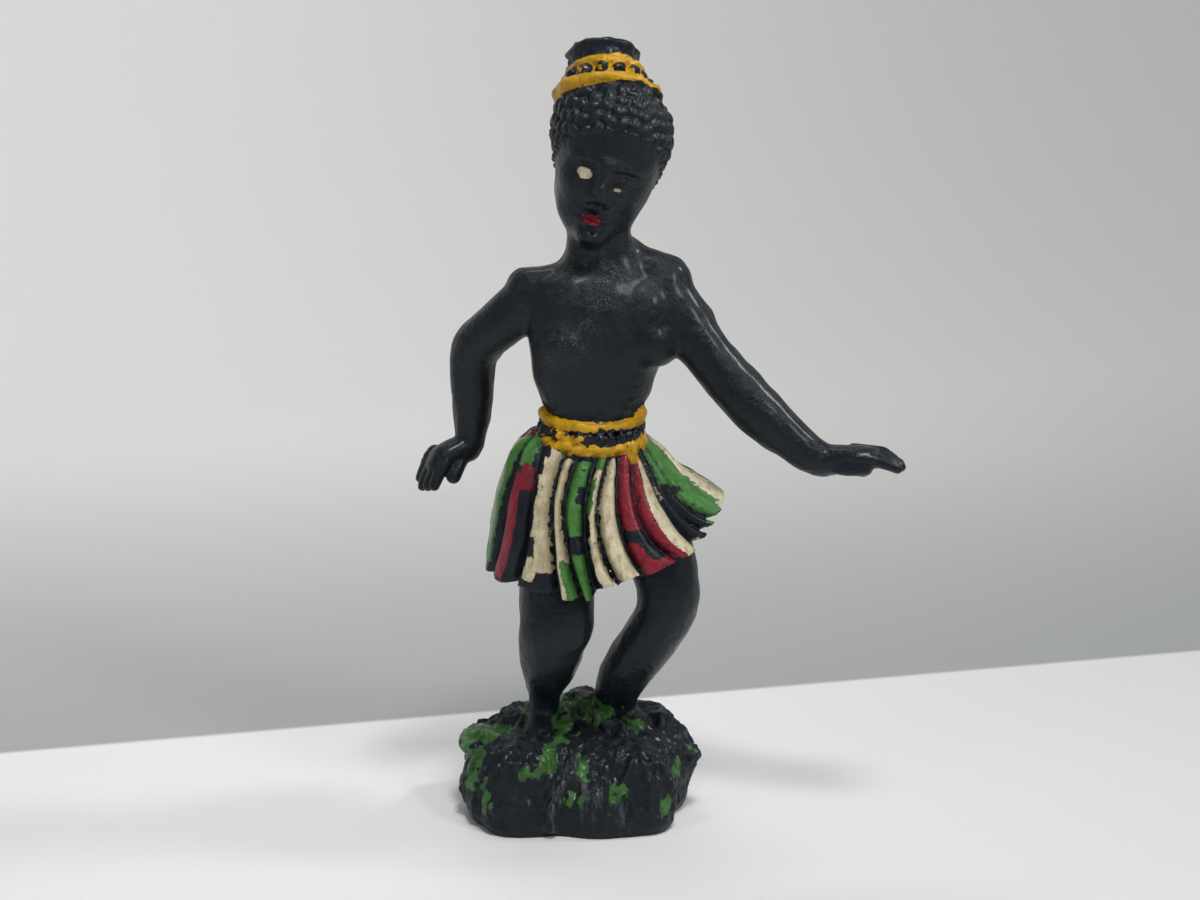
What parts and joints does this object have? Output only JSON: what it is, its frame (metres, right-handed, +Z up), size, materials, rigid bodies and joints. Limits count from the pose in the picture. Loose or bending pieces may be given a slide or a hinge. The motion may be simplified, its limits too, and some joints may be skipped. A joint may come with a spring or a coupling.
{
  "type": "plastic figurine",
  "caption": "Small moulded plastic dancer with arms held out, a beaded headdress and belt and a striped pleated skirt, on a rocky mound that it stands by.",
  "frame": {"origin": "middle of the mound's flat underside, on the surface it stands on", "axes": "+Z up along the figure's height, -Y the way the dancer faces, +X to the dancer's left hand"},
  "size_m": [0.0409, 0.0171, 0.0658],
  "materials": {
    "painted_plastic": "near-black moulded plastic, half gloss and dusty, with worn yellow, green, red and cream paint"
  },
  "bodies": {
    "root": {"dancer_figurine": "painted_plastic"}
  },
  "joints": []
}
